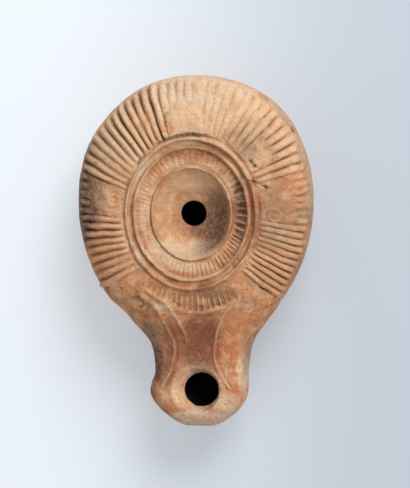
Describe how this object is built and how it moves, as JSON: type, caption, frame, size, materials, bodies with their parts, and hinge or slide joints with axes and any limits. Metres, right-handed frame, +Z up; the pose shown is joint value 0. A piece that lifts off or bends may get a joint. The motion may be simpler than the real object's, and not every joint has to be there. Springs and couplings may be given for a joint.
{
  "type": "roman oil lamp",
  "caption": "Hollow mould-made clay oil lamp: ribbed shoulder, ringed sunken centre with a filling hole, splayed volute nozzle with a wick hole, flat foot.",
  "frame": {"origin": "centre of the flat foot, on the surface the lamp stands on", "axes": "+Z up, +Y from the nozzle towards the round back, +X to the right seen from above with the nozzle towards the viewer"},
  "size_m": [0.0656, 0.098, 0.0282],
  "materials": {
    "terracotta": "unglazed worn terracotta, matte, with soot, grey-green burial stains and pale lime film"
  },
  "bodies": {
    "root": {"lamp_body": "terracotta"}
  },
  "joints": []
}
